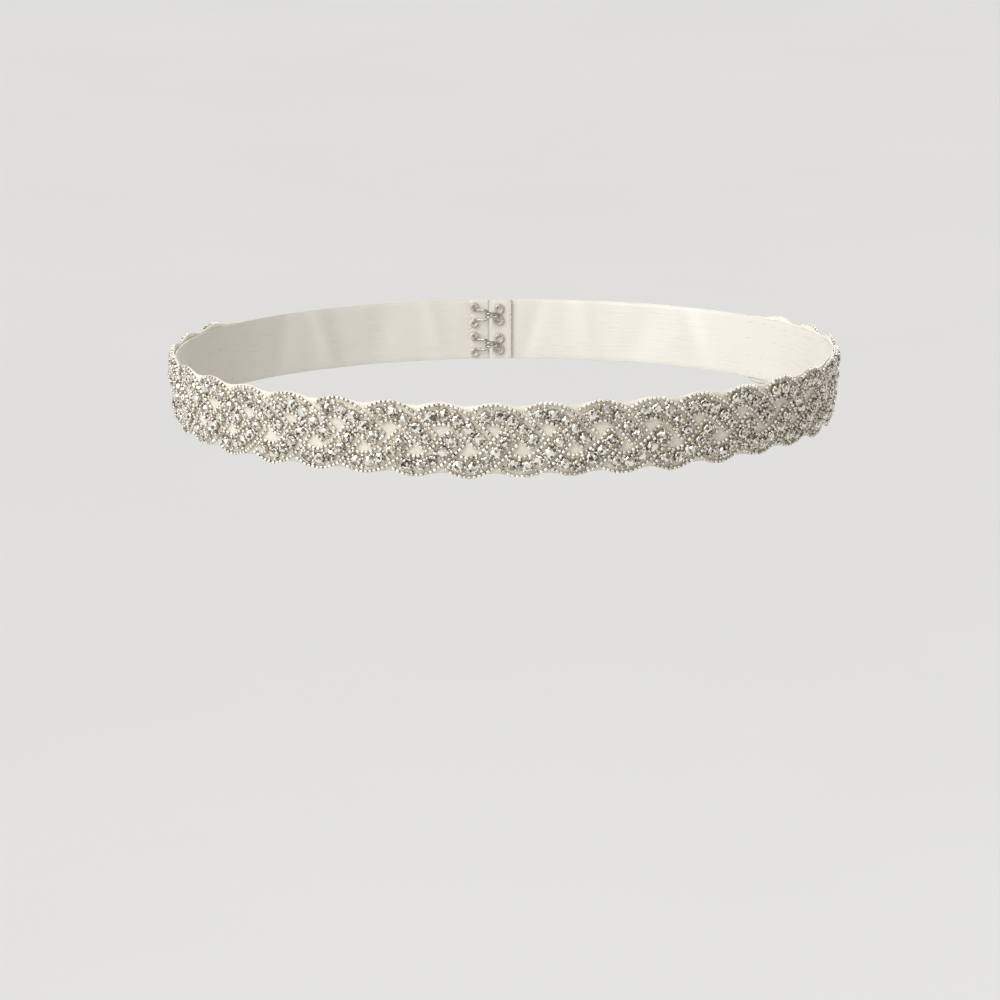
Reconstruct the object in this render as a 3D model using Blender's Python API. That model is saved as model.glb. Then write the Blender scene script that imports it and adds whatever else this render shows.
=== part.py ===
"""Bridal sash: a satin ribbon worn round the waist, with a plaited bead and rhinestone applique sewn to it.

Metres, +Z up. The origin is the middle of the waist, at the band's mid height, and the wearer faces -Y.
A place on the band is given as (along, up, out): the length along the waist from the centre front,
towards +X; the height up the band; and how far it stands out from the ribbon's outer face.
"""

import functools
import math

import bmesh
import bpy
import numpy
from mathutils import Vector
from mathutils.geometry import delaunay_2d_cdt

MM = 0.001

# The waist, measured to the ribbon's outer face at mid height.
WAIST_HALF_WIDTH = 128.6 * MM
WAIST_HALF_DEPTH = 97.2 * MM
BAND_LEAN = math.radians(5.4)  # the waist widens upwards, so the band's top edge stands out
WAIST_SAMPLES = 2881
SEAM_GAP = 0.3 * MM

# The ribbon
RIBBON_WIDTH = 25 * MM
RIBBON_THICK = 1 * MM
RIBBON_STEP = 6 * MM  # the longest chord of the ribbon's curve
HEM_LENGTH = 8 * MM
HEM_THICK = 2 * MM  # the ribbon's ends are turned under
END_GAP = 1.2 * MM  # between the two ends, at the centre back

# The plait of the applique
CREST_PITCH = 19.7 * MM  # between neighbouring crests on one edge
PLAIT_LENGTH = 3 * CREST_PITCH  # one full wave of each of the three strands
PLAIT_SWING = 10.2 * MM  # from the middle line to a strand's crest
LAST_ARCH = 24  # the arches are numbered from the centre front, and even ones crest downwards
STRAND_HALF_WIDTH = 4.5 * MM
STRAND_CLEARANCE = 0.35 * MM  # between a strand's end and the strand that crosses over it
STRAND_BEVEL = 0.45 * MM
STRAND_COLUMNS = 7
ARCH_SAMPLES = 1201
TRIM_STEP = 0.05 * MM

# Heights above the ribbon's outer face
GROUND_OUT = 1.3 * MM
STRAND_OUT = 2.6 * MM
OVER_LIFT = 0.5 * MM  # where a strand passes over another
OVER_SPREAD = 4.0 * MM
STONE_HEIGHT = 1.0 * MM

# The rhinestones along each strand
STONE_RADIUS = 2.0 * MM
TABLE_RADIUS = 1.25 * MM
STONE_SIDES = 6
STONE_PLACES = [-3.4 * MM, 1.8 * MM, 7.0 * MM, 12.2 * MM, 17.4 * MM]

# The ground cloth of the applique, which has scalloped edges and round ends
GROUND_MEAN_HEIGHT = 14.05 * MM
GROUND_SCALLOP = 1.05 * MM
GROUND_STEPS = 6  # for each crest pitch
GROUND_HALF_LENGTH = 247.5 * MM
END_ROUNDING = 10.5 * MM
END_ANGLES = [22, 43, 62, 78]  # degrees round the quarter oval of each round end
BACK_ROWS = [-8 * MM, 0, 8 * MM]
BACK_STEP = 6 * MM

# The hooks and eyes
WIRE_RADIUS = 0.45 * MM
FASTENER_HEIGHT = 6.2 * MM  # above and below the band's middle line
HOOK_SHANK_HALF_GAP = 0.75 * MM
HOOK_RING_RADIUS = 1.6 * MM
HOOK_BEND_RADIUS = 1.25 * MM
HOOK_SHANK = (-3.4 * MM, 1.0 * MM)
HOOK_BILL_LENGTH = 2.6 * MM
EYE_HALF_WIDTH = 2.1 * MM
EYE_RING_RADIUS = 1.3 * MM
EYE_LOOP_CENTRE = 3.0 * MM
EYE_RINGS = 7.2 * MM
EYE_RISE = (4.2 * MM, 5.8 * MM)  # between these the eye's wires rise clear of the ribbon, towards the loop
RING_TURN = math.radians(270)
RING_STEPS = 7
BEND_STEPS = 6
HOOK_TIP_ANGLES = [45, 90, 135]  # degrees round the half turn that joins a hook's two wires
EYE_TIP_ANGLES = [30, 60, 90, 120, 150]  # and the eye's

# How the outlines are filled with triangles
FILL_INSIDE = 1  # only inside the outermost loop
SAME_POINT = 1e-5  # of a millimetre: closer points would be merged


# ---------------------------------------------------------------- the waist


def waist_table():
    """The angles round the waist from the centre front, and the length along it to each."""
    angles = numpy.linspace(-math.pi, math.pi, WAIST_SAMPLES)
    across = WAIST_HALF_WIDTH * numpy.sin(angles)
    deep = -WAIST_HALF_DEPTH * numpy.cos(angles)
    steps = numpy.hypot(numpy.diff(across), numpy.diff(deep))
    lengths = numpy.concatenate([[0], numpy.cumsum(steps)])
    return angles, lengths - lengths[-1] / 2


WAIST_ANGLES, WAIST_LENGTHS = waist_table()
HALF_GIRTH = float(WAIST_LENGTHS[-1])


def wrap(along, up, out):
    """The point at a place on the band."""
    along = (along + HALF_GIRTH) % (2 * HALF_GIRTH) - HALF_GIRTH
    angle = float(numpy.interp(along, WAIST_LENGTHS, WAIST_ANGLES))
    sine, cosine = math.sin(angle), math.cos(angle)
    foot = Vector((WAIST_HALF_WIDTH * sine, -WAIST_HALF_DEPTH * cosine, 0))
    outward = Vector((sine / WAIST_HALF_WIDTH, -cosine / WAIST_HALF_DEPTH, 0)).normalized()
    sideways = up * math.sin(BAND_LEAN) + out * math.cos(BAND_LEAN)
    height = up * math.cos(BAND_LEAN) - out * math.sin(BAND_LEAN)
    return foot + outward * sideways + Vector((0, 0, height))


# ---------------------------------------------------------------- the ribbon


def even_steps(start, end, longest):
    """Evenly spaced values from start to end, no further apart than longest."""
    count = math.ceil((end - start) / longest)
    return [start + (end - start) * step / count for step in range(count + 1)]


def ribbon_columns():
    """Where the ribbon's columns stand along the waist, and how thick it is at each."""
    end = HALF_GIRTH - END_GAP / 2
    hem = end - HEM_LENGTH
    fold = RIBBON_THICK / 2
    columns = [(along, RIBBON_THICK) for along in even_steps(-hem + fold, hem - fold, RIBBON_STEP)]
    turned = [(along, HEM_THICK) for along in even_steps(hem, end, RIBBON_STEP)]
    return [(-along, thick) for along, thick in reversed(turned)] + columns + turned


def add_ribbon():
    """The ribbon: an open band with square edges and its two ends turned under."""
    mesh = bmesh.new()
    half = RIBBON_WIDTH / 2
    rings = []
    for along, thick in ribbon_columns():
        corners = [(-half, 0), (half, 0), (half, -thick), (-half, -thick)]
        rings.append([mesh.verts.new(wrap(along, up, out)) for up, out in corners])
    for ring, following in zip(rings, rings[1:]):
        for side in range(4):
            after = (side + 1) % 4
            mesh.faces.new((ring[side], following[side], following[after], ring[after]))
    mesh.faces.new(reversed(rings[-1]))
    mesh.faces.new(rings[0])
    return add_object("ribbon", mesh, satin())


# ---------------------------------------------------------------- the plait


def arch_table():
    """Distances along an arch's middle line from its crest, and how far sideways each lies."""
    sideways = numpy.linspace(-PLAIT_LENGTH / 2, PLAIT_LENGTH / 2, ARCH_SAMPLES)
    height = PLAIT_SWING * numpy.cos(2 * math.pi * sideways / PLAIT_LENGTH)
    steps = numpy.hypot(numpy.diff(sideways), numpy.diff(height))
    distances = numpy.concatenate([[0], numpy.cumsum(steps)])
    return distances - distances[-1] / 2, sideways


ARCH_DISTANCES, ARCH_SIDEWAYS = arch_table()


def distance_at(sideways):
    return float(numpy.interp(sideways, ARCH_SIDEWAYS, ARCH_DISTANCES))


UPPER_CROSSING = distance_at(CREST_PITCH / 2)  # the strand goes over here, past its crest
LOWER_CROSSING = distance_at(CREST_PITCH)  # and dives under here


def arch_point(arch, distance, across):
    """The (along, up) of a point across a strand, at a distance from the arch's crest."""
    sideways = float(numpy.interp(distance, ARCH_DISTANCES, ARCH_SIDEWAYS))
    turn = 2 * math.pi * sideways / PLAIT_LENGTH
    slope = -PLAIT_SWING * math.sin(turn) * 2 * math.pi / PLAIT_LENGTH
    length = math.hypot(1, slope)
    along = arch * CREST_PITCH / 2 + sideways - across * slope / length
    up = PLAIT_SWING * math.cos(turn) + across / length
    return along, up if arch % 2 else -up


def distance_from_strand(arch, place):
    """How far a place lies from an arch's middle line."""
    heights = PLAIT_SWING * numpy.cos(2 * math.pi * ARCH_SIDEWAYS / PLAIT_LENGTH)
    if arch % 2 == 0:
        heights = -heights
    along = arch * CREST_PITCH / 2 + ARCH_SIDEWAYS
    return float(numpy.hypot(along - place[0], heights - place[1]).min())


@functools.lru_cache(maxsize=None)
def trimmed(across, inset, forward):
    """How far from its crest a strand runs on each line along it, before it dives under another.

    It comes out from under the arch before it on its own edge, and dives under the next arch of the other.
    """
    arch = 1
    over = arch + 1 if forward else arch - 2
    limit = STRAND_HALF_WIDTH + STRAND_CLEARANCE + inset
    distance = 0
    while distance_from_strand(over, arch_point(arch, distance, across)) > limit:
        distance += TRIM_STEP if forward else -TRIM_STEP
    return distance


def strand_run(arch, across, inset):
    """Where one line along a strand starts and ends. The outermost arches stop short, at the round ends."""
    start = trimmed(across, inset, False)
    end = trimmed(across, inset, True)
    middle = distance_at(PLAIT_LENGTH / 4)
    if arch == -LAST_ARCH:
        start = inset - STRAND_BEVEL
    if arch == 1 - LAST_ARCH:
        start = inset - middle
    if arch == LAST_ARCH - 1:
        end = middle - inset
    if arch == LAST_ARCH:
        end = STRAND_BEVEL - inset
    return start, end


def strand_out(distance):
    """How far a strand's top stands out: it rises where it passes over another."""
    return STRAND_OUT + OVER_LIFT * math.exp(-(((distance - UPPER_CROSSING) / OVER_SPREAD) ** 2))


def strand_loop(arch, inset, out=None):
    """A closed loop of (along, up, out) round a strand, drawn in from its foot."""
    half = STRAND_HALF_WIDTH - inset
    places = []
    for across in (half, -half):
        start, end = strand_run(arch, across, inset)
        step = (end - start) / STRAND_COLUMNS
        line = [(start + step * column, across) for column in range(STRAND_COLUMNS + 1)]
        places += line if across > 0 else reversed(line)
    return [
        (*arch_point(arch, distance, across), strand_out(distance) if out is None else out)
        for distance, across in places
    ]


def stone_loops(arch, distance):
    """The foot and the table of one rhinestone, as two closed loops."""
    along, up = arch_point(arch, distance, 0)
    loops = []
    for radius, rise in ((STONE_RADIUS, 0), (TABLE_RADIUS, STONE_HEIGHT)):
        loop = []
        for side in range(STONE_SIDES):
            angle = 2 * math.pi * side / STONE_SIDES
            place = along + radius * math.cos(angle), up + radius * math.sin(angle)
            loop.append((*place, strand_out(distance) + rise))
        loops.append(loop)
    return loops


def arch_loops(arch):
    """Every loop that one arch of the plait adds to the relief."""
    start, end = strand_run(arch, 0, 0)
    margin = STONE_RADIUS + 2 * STRAND_BEVEL
    loops = [strand_loop(arch, 0, GROUND_OUT), strand_loop(arch, STRAND_BEVEL)]
    for distance in STONE_PLACES:
        if start + margin <= distance <= end - margin:
            loops += stone_loops(arch, distance)
    return loops


# ---------------------------------------------------------------- the applique


def ground_edge(along, upper):
    """How high the scalloped edge stands, with its crests over the plait's."""
    phase = 2 * math.pi * (along - (CREST_PITCH / 2 if upper else 0)) / CREST_PITCH
    height = GROUND_MEAN_HEIGHT + GROUND_SCALLOP * math.cos(phase)
    past = max(0, abs(along) - (GROUND_HALF_LENGTH - END_ROUNDING)) / END_ROUNDING
    return height * math.sqrt(max(0, 1 - past**2))


def ground_loop():
    """The ground's outline: along its lower edge and back along its upper one."""
    straight = GROUND_HALF_LENGTH - END_ROUNDING
    steps = even_steps(-straight, straight, CREST_PITCH / GROUND_STEPS)
    round_end = [straight + END_ROUNDING * math.sin(math.radians(angle)) for angle in END_ANGLES]
    steps = [-along for along in reversed(round_end)] + steps + round_end
    loop = [(-GROUND_HALF_LENGTH, 0)]
    loop += [(along, -ground_edge(along, False)) for along in steps]
    loop += [(GROUND_HALF_LENGTH, 0)]
    loop += [(along, ground_edge(along, True)) for along in reversed(steps)]
    return loop


def triangulate(loops, points=()):
    """The triangles that fill the first loop, with the other loops and loose points in them.

    Returns them as indexes into the loops' points, laid end to end, and then the loose ones.
    """
    flat = [place for loop in loops for place in loop] + list(points)
    edges = []
    first = 0
    for loop in loops:
        edges += [(first + step, first + (step + 1) % len(loop)) for step in range(len(loop))]
        first += len(loop)
    spread = [Vector((place[0] / MM, place[1] / MM)) for place in flat]
    made, _, faces, origins, _, _ = delaunay_2d_cdt(spread, edges, [], FILL_INSIDE, SAME_POINT)
    if len(made) != len(flat):
        raise ValueError("two loops of the applique cross or touch")
    return [[origins[corner][0] for corner in face] for face in faces]


def add_applique():
    """The applique: a plain inside, and the plait raised from its outer face."""
    outline = ground_loop()
    front = [[(along, up, GROUND_OUT) for along, up in outline]]
    for arch in range(-LAST_ARCH, LAST_ARCH + 1):
        front += arch_loops(arch)
    reach = GROUND_HALF_LENGTH - END_ROUNDING
    inner = [(along, up) for up in BACK_ROWS for along in even_steps(-reach, reach, BACK_STEP)]

    mesh = bmesh.new()
    fronts = [mesh.verts.new(wrap(*place)) for loop in front for place in loop]
    backs = [mesh.verts.new(wrap(along, up, SEAM_GAP)) for along, up in outline + inner]
    for face in triangulate(front):
        mesh.faces.new([fronts[corner] for corner in face])
    for face in triangulate([outline], inner):
        mesh.faces.new([backs[corner] for corner in reversed(face)])
    for step in range(len(outline)):
        after = (step + 1) % len(outline)
        mesh.faces.new((fronts[step], backs[step], backs[after], fronts[after]))
    return add_object("applique", mesh, beadwork())


# ---------------------------------------------------------------- the hooks and eyes


def ring_arc(centre, radius, side):
    """An open sewing ring, from where it meets its wire: offsets in (across, up)."""
    across, up = centre
    turns = [RING_TURN * step / RING_STEPS for step in range(RING_STEPS + 1)]
    return [(across - radius * math.sin(turn), up - side * radius * math.cos(turn)) for turn in turns]


def half_hook(side):
    """One of a hook's two wires, from its ring to the tip of its bill, as (across, up, out) offsets."""
    up = side * HOOK_SHANK_HALF_GAP
    start, bend = HOOK_SHANK
    ring = ring_arc((start, up + side * HOOK_RING_RADIUS), HOOK_RING_RADIUS, side)
    path = [(*place, 0) for place in reversed(ring)]
    path.append(((start + bend) / 2, up, 0))
    for step in range(BEND_STEPS + 1):
        turn = math.pi * step / BEND_STEPS
        path.append((bend + HOOK_BEND_RADIUS * math.sin(turn), up, -HOOK_BEND_RADIUS * (1 - math.cos(turn))))
    path.append((bend - HOOK_BILL_LENGTH, up, -2 * HOOK_BEND_RADIUS))
    return path


def hook_path():
    upper = half_hook(1)
    lower = half_hook(-1)
    across, up, out = upper[-1]
    tip = []
    for angle in HOOK_TIP_ANGLES:
        turn = math.radians(angle)
        tip.append((across - up * math.sin(turn), up * math.cos(turn), out))
    return upper + tip + list(reversed(lower))


def half_eye(side):
    """One of an eye's two wires, from its ring to where its loop begins to turn."""
    up = side * EYE_HALF_WIDTH
    ring = ring_arc((-EYE_RINGS, up + side * EYE_RING_RADIUS), EYE_RING_RADIUS, side)
    path = [(-across, height, 0) for across, height in reversed(ring)]
    path.append((EYE_RISE[1], up, 0))
    path.append((EYE_RISE[0], up, -HOOK_BEND_RADIUS / 2))
    path.append((EYE_LOOP_CENTRE, up, -HOOK_BEND_RADIUS))
    return path


def eye_path():
    tip = []
    for angle in EYE_TIP_ANGLES:
        turn = math.radians(angle)
        across = EYE_LOOP_CENTRE - EYE_HALF_WIDTH * math.sin(turn)
        tip.append((across, EYE_HALF_WIDTH * math.cos(turn), -HOOK_BEND_RADIUS))
    return half_eye(1) + tip + list(reversed(half_eye(-1)))


def add_wire(name, path, height):
    """A hook or an eye: a bent wire on the inner face of the ribbon's ends, at the centre back."""
    curve = bpy.data.curves.new(name, "CURVE")
    curve.dimensions = "3D"
    curve.bevel_depth = WIRE_RADIUS
    curve.bevel_resolution = 1
    curve.use_fill_caps = True
    spline = curve.splines.new("POLY")
    spline.points.add(len(path) - 1)
    seat = -HEM_THICK - SEAM_GAP - WIRE_RADIUS
    for point, (across, up, out) in zip(spline.points, path):
        point.co = (*wrap(HALF_GIRTH + across, height + up, seat + out), 1)
    wire = bpy.data.objects.new(name, curve)
    bpy.context.collection.objects.link(wire)
    curve.materials.append(plated_wire())
    return wire


# ---------------------------------------------------------------- materials and objects


def material(name, colour, roughness, metallic=0.0):
    made = bpy.data.materials.get(name) or bpy.data.materials.new(name)
    made.use_nodes = True
    made.diffuse_color = (*colour, 1)
    shader = made.node_tree.nodes["Principled BSDF"]
    shader.inputs["Base Color"].default_value = (*colour, 1)
    shader.inputs["Roughness"].default_value = roughness
    shader.inputs["Metallic"].default_value = metallic
    return made


def satin():
    return material("ivory satin", (0.83, 0.79, 0.72), 0.45)


def beadwork():
    return material("silver-lined beads", (0.62, 0.58, 0.50), 0.25, 0.6)


def plated_wire():
    return material("nickel-plated wire", (0.66, 0.65, 0.62), 0.25, 1.0)


def add_object(name, mesh, finish):
    data = bpy.data.meshes.new(name)
    mesh.normal_update()
    mesh.to_mesh(data)
    mesh.free()
    data.materials.append(finish)
    made = bpy.data.objects.new(name, data)
    bpy.context.collection.objects.link(made)
    return made


def main():
    for old in list(bpy.data.objects):
        bpy.data.objects.remove(old, do_unlink=True)
    add_ribbon()
    add_applique()
    for place, height in (("upper", FASTENER_HEIGHT), ("lower", -FASTENER_HEIGHT)):
        add_wire("hook_" + place, hook_path(), height)
        add_wire("eye_" + place, eye_path(), height)


main()
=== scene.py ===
"""Bridal sash: the looks of a satin ribbon that carries a plaited bead and rhinestone applique.

Run as a script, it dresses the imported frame. Metres, +Z up. A place on the band is given as (along, up, out):
the length along the waist from the centre front, towards +X; the height up the band; and how far it stands
out from the ribbon's outer face.
"""

import collections
import functools
import math

import bmesh
import bpy
import numpy as np
from bpy.props import FloatProperty, FloatVectorProperty, IntProperty, PointerProperty
from mathutils import Euler, Matrix, Vector


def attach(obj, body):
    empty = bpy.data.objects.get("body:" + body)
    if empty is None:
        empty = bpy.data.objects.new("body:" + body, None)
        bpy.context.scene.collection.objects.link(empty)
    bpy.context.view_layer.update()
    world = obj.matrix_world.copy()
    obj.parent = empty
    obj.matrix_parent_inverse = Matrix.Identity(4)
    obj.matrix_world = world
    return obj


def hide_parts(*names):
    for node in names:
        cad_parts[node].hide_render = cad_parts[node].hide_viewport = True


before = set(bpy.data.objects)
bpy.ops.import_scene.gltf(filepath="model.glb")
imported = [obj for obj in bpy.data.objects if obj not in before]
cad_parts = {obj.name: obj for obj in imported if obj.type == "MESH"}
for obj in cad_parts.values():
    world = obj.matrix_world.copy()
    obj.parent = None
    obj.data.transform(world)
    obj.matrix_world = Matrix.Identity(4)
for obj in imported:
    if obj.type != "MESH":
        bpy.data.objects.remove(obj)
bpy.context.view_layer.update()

bl_info = {
    "name": "Bridal sash",
    "version": (1, 0, 0),
    "blender": (4, 5, 0),
    "location": "3D View > Sidebar > Sash",
    "description": "Makes a satin sash with a plaited bead and rhinestone applique, closed by hooks and eyes",
    "category": "Object",
}

MM = 0.001
SIDES = (-1, 1)
SAME_POINT = 1e-6
UPRIGHT = np.array([0, 0, 1])

# The waist, measured to the ribbon's outer face at mid height
WAIST_HALF_WIDTH = 128.6 * MM
WAIST_HALF_DEPTH = 97.2 * MM
BAND_LEAN = math.radians(5.4)  # the waist widens upwards, so the band's top edge stands out
WAIST_SAMPLES = 2881

# The ribbon
RIBBON_WIDTH = 25 * MM
HEM_LENGTH = 8 * MM
HEM_THICK = 2 * MM  # over both layers of a turned end
END_GAP = 1.2 * MM  # between the two ends, at the centre back

# The plait: arches are numbered from the centre front, and even ones crest downwards
CREST_PITCH = 19.7 * MM
PLAIT_LENGTH = 3 * CREST_PITCH
PLAIT_SWING = 10.2 * MM
LAST_ARCH = 24
ARCHES = range(-LAST_ARCH, LAST_ARCH + 1)
ARCH_SAMPLES = 1201
TRIM_STEP = 0.05 * MM
LONGEST_RUN = 30 * MM
OVER_LIFT = 0.5 * MM  # where a strand passes over another
OVER_SPREAD = 4.0 * MM
SWAY = 0.35 * MM  # how far handwork lets a strand wander to either side
SWAY_LENGTH = 5.3 * MM
SWAY_SHIFT = 2.4  # from arch to arch, so that no two wander alike
STONE_PITCH = 5.2 * MM
STONE_PLACES = [-3.4 * MM + STONE_PITCH * step for step in range(-3, 5)]  # from a strand's crest
STONE_CLEAR = 6.9 * MM  # the stones stop this far from the middle of the strand that passes over theirs
STONE_LEEWAY = 0.1 * MM

# The ground cloth under the plait
GROUND_BACK = 0.3 * MM
GROUND_FACE = 0.95 * MM
GROUND_MEAN_HEIGHT = 14.05 * MM
GROUND_SCALLOP = 1.05 * MM
GROUND_HALF_LENGTH = 247.5 * MM
END_ROUNDING = 10.5 * MM
CLOSE_TRIM = 0.55 * MM  # how far the outer beads hang over the cloth's edge at the crests

# The hooks and eyes, across from the centre back
FASTENER_HEIGHT = 6.2 * MM
HOOK_HALF_WIDTH = 0.75 * MM
HOOK_RING_RADIUS = 1.6 * MM
HOOK_RINGS = -3.4 * MM
HOOK_BEND = 1.0 * MM
HOOK_BEND_RADIUS = 1.25 * MM
HOOK_BILL_LENGTH = 2.6 * MM
EYE_HALF_WIDTH = 2.1 * MM
EYE_RING_RADIUS = 1.3 * MM
EYE_RINGS = 7.2 * MM
EYE_RISE = 5.8 * MM  # where an eye's wires leave the cloth
EYE_LOOP_CENTRE = 3.0 * MM
RING_TURN = math.radians(270)
WIRE_SEAT = -HEM_THICK - 0.75 * MM  # the wires' centre line, inside the band


def linear(hex_colour):
    """The linear colour of an sRGB hex value."""
    parts = [int(hex_colour[start : start + 2], 16) / 255 for start in (1, 3, 5)]
    return [part / 12.92 if part <= 0.04045 else ((part + 0.055) / 1.055) ** 2.4 for part in parts]


def length_property(name, description, millimetres):
    return FloatProperty(
        name=name, description=description, default=millimetres * MM, min=0, unit="LENGTH", precision=5
    )


def colour_property(name, description, hex_colour):
    return FloatVectorProperty(
        name=name, description=description, default=linear(hex_colour), min=0, max=1, subtype="COLOR"
    )


def angle_property(name, description, degrees):
    return FloatProperty(name=name, description=description, default=math.radians(degrees), subtype="ANGLE")


def plain_property(name, description, amount, unit="NONE"):
    return FloatProperty(name=name, description=description, default=amount, min=0, unit=unit)


class SashSizes(bpy.types.PropertyGroup):
    """The sizes of the small pieces, which a user may change"""

    ribbon_thick: length_property("Ribbon thickness", "Thickness of the satin ribbon", 0.6)
    bead_radius: length_property("Bead radius", "Outer radius of a seed bead", 0.64)
    bead_length: length_property("Bead length", "Length of a seed bead along its thread", 1.6)
    bead_pitch: length_property("Bead pitch", "Distance from bead to bead along a row", 1.78)
    outer_row: length_property("Outer row", "Distance of the outer bead row from a strand's middle", 3.95)
    inner_row: length_property("Inner row", "Distance of the inner bead row from a strand's middle", 3.6)
    stone_radius: length_property("Stone radius", "Radius of a rhinestone at its girdle", 2.15)
    stone_rise: length_property("Stone height", "Height of a rhinestone's table over its girdle", 0.95)
    setting_rise: length_property("Setting height", "Height of a claw setting's cup", 1.45)
    thread_radius: length_property("Thread radius", "Radius of the sewing thread", 0.13)
    wire_radius: length_property("Wire radius", "Radius of the hooks' and eyes' wire", 0.45)
    seed: IntProperty(name="Seed", description="Changes the unevenness of the handwork", default=7, min=0)


class SashColours(bpy.types.PropertyGroup):
    """The colours of the sash's finishes"""

    satin: colour_property("Satin", "Ivory satin of the ribbon", "#d9d4ca")
    ground: colour_property("Ground cloth", "Ivory cloth under the beads", "#eae2d4")
    thread: colour_property("Thread", "Ivory sewing thread", "#efe8d8")
    bead: colour_property("Beads", "Silver-lined glass seed beads", "#ece3d2")
    # The bright one of the rhinestones' painted reflections, which about half of their facets take.
    crystal: colour_property("Crystal", "Foiled crystal, where it is bright", "#f4f2ec")
    claws: colour_property("Claws", "Silver plate of the claw settings", "#f3ebdc")
    wire: colour_property("Wire", "Nickel plate of the hooks and eyes", "#b9b6ae")
    floor: colour_property("Floor", "Paper of the floor", "#f1f0ee")


class SashStage(bpy.types.PropertyGroup):
    """The camera and lights"""

    azimuth: angle_property("Azimuth", "Camera's turn round the sash", -3.5)
    elevation: angle_property("Elevation", "Camera's angle over the horizon", 12.97)
    distance: length_property("Distance", "Camera's distance from the middle of the waist", 1450)
    lens: plain_property("Lens", "Focal length in millimetres", 131.76, "CAMERA")
    waist_height: length_property("Waist height", "Height of the waist over the floor", 1050)
    overhead: plain_property("Overhead light", "Strength of the wide light from above", 1.6)
    key: plain_property("Key light", "Power of the soft light at the left front", 4.5, "POWER")
    fill: plain_property("Fill light", "Power of the soft light at the right front", 0.22, "POWER")
    back: plain_property("Back light", "Power of the soft light behind the sash", 3.0, "POWER")
    sky: plain_property("Room light", "Strength of the pale room's light", 0.55)


# ---- the band's form


def run_lengths(*axes):
    """The length along a line up to each of its points, given the points on each of two axes."""
    return np.concatenate([[0], np.cumsum(np.hypot(*np.diff(axes)))])


def waist_table():
    """The angles round the waist from the centre front, and the length along it to each."""
    angles = np.linspace(-math.pi, math.pi, WAIST_SAMPLES)
    lengths = run_lengths(WAIST_HALF_WIDTH * np.sin(angles), -WAIST_HALF_DEPTH * np.cos(angles))
    return angles, lengths - lengths[-1] / 2


WAIST_ANGLES, WAIST_LENGTHS = waist_table()
HALF_GIRTH = float(WAIST_LENGTHS[-1])
BAND_END = HALF_GIRTH - END_GAP / 2


def oval(angle, half_width, half_depth):
    return np.stack([half_width * np.sin(angle), -half_depth * np.cos(angle), 0 * angle], -1)


def outward_at(along):
    """The angle round the waist and the level outward direction at each length along it."""
    around = (np.asarray(along, float) + HALF_GIRTH) % (2 * HALF_GIRTH) - HALF_GIRTH
    angle = np.interp(around, WAIST_LENGTHS, WAIST_ANGLES)
    outward = oval(angle, 1 / WAIST_HALF_WIDTH, 1 / WAIST_HALF_DEPTH)
    return angle, outward / np.linalg.norm(outward, axis=-1, keepdims=True)


def wrap(along, up, out):
    """The points at places on the band, a row for each."""
    angle, outward = outward_at(along)
    foot = oval(angle, WAIST_HALF_WIDTH, WAIST_HALF_DEPTH)
    up, out = np.asarray(up, float), np.asarray(out, float)
    sideways = up * math.sin(BAND_LEAN) + out * math.cos(BAND_LEAN)
    height = up * math.cos(BAND_LEAN) - out * math.sin(BAND_LEAN)
    return foot + outward * sideways[..., None] + height[..., None] * UPRIGHT


def band_axes(along):
    """The directions along, up and out of the band at each length along it."""
    outward = outward_at(along)[1]
    forward = np.stack([-outward[..., 1], outward[..., 0], 0 * outward[..., 0]], -1)
    upward = outward * math.sin(BAND_LEAN) + UPRIGHT * math.cos(BAND_LEAN)
    facing = outward * math.cos(BAND_LEAN) - UPRIGHT * math.sin(BAND_LEAN)
    return forward, upward, facing


# ---- the plait's form


def arch_table():
    """Distances along an arch's middle line from its crest, and how far sideways each lies."""
    sideways = np.linspace(-PLAIT_LENGTH / 2, PLAIT_LENGTH / 2, ARCH_SAMPLES)
    distances = run_lengths(sideways, PLAIT_SWING * np.cos(2 * math.pi * sideways / PLAIT_LENGTH))
    return distances - distances[-1] / 2, sideways


ARCH_DISTANCES, ARCH_SIDEWAYS = arch_table()
UPPER_CROSSING = float(np.interp(CREST_PITCH / 2, ARCH_SIDEWAYS, ARCH_DISTANCES))
QUARTER_WAVE = float(np.interp(PLAIT_LENGTH / 4, ARCH_SIDEWAYS, ARCH_DISTANCES))


def arch_place(arch, distance, across):
    """The (along, up) across a strand, at a distance from its crest; across is positive on the outer side."""
    sideways = np.interp(distance, ARCH_DISTANCES, ARCH_SIDEWAYS)
    turn = 2 * math.pi * sideways / PLAIT_LENGTH
    slope = -PLAIT_SWING * np.sin(turn) * 2 * math.pi / PLAIT_LENGTH
    length = np.hypot(1, slope)
    along = arch * CREST_PITCH / 2 + sideways - across * slope / length
    up = PLAIT_SWING * np.cos(turn) + across / length
    return along, up if arch % 2 else -up


@functools.lru_cache(maxsize=None)
def strand_end(across, clear, forward):
    """How far from its crest a line along a strand runs before it dives under another."""
    distances = np.arange(0, LONGEST_RUN, TRIM_STEP) * (1 if forward else -1)
    along, up = arch_place(1, distances, across)
    over_along, over_up = arch_place(2 if forward else -1, ARCH_DISTANCES, 0)
    apart = np.hypot(along[:, None] - over_along, up[:, None] - over_up).min(axis=1)
    return float(distances[np.argmax(apart < clear)])


def strand_run(arch, across, clear):
    """Where a line along a strand starts and ends. The outermost arches stop short, at the round ends."""
    starts = {-LAST_ARCH: 0, 1 - LAST_ARCH: -QUARTER_WAVE}
    ends = {LAST_ARCH - 1: QUARTER_WAVE, LAST_ARCH: 0}
    start = starts.get(arch, strand_end(across, clear, False))
    return start, ends.get(arch, strand_end(across, clear, True))


def over_lift(distance):
    return OVER_LIFT * np.exp(-(((distance - UPPER_CROSSING) / OVER_SPREAD) ** 2))


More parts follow.
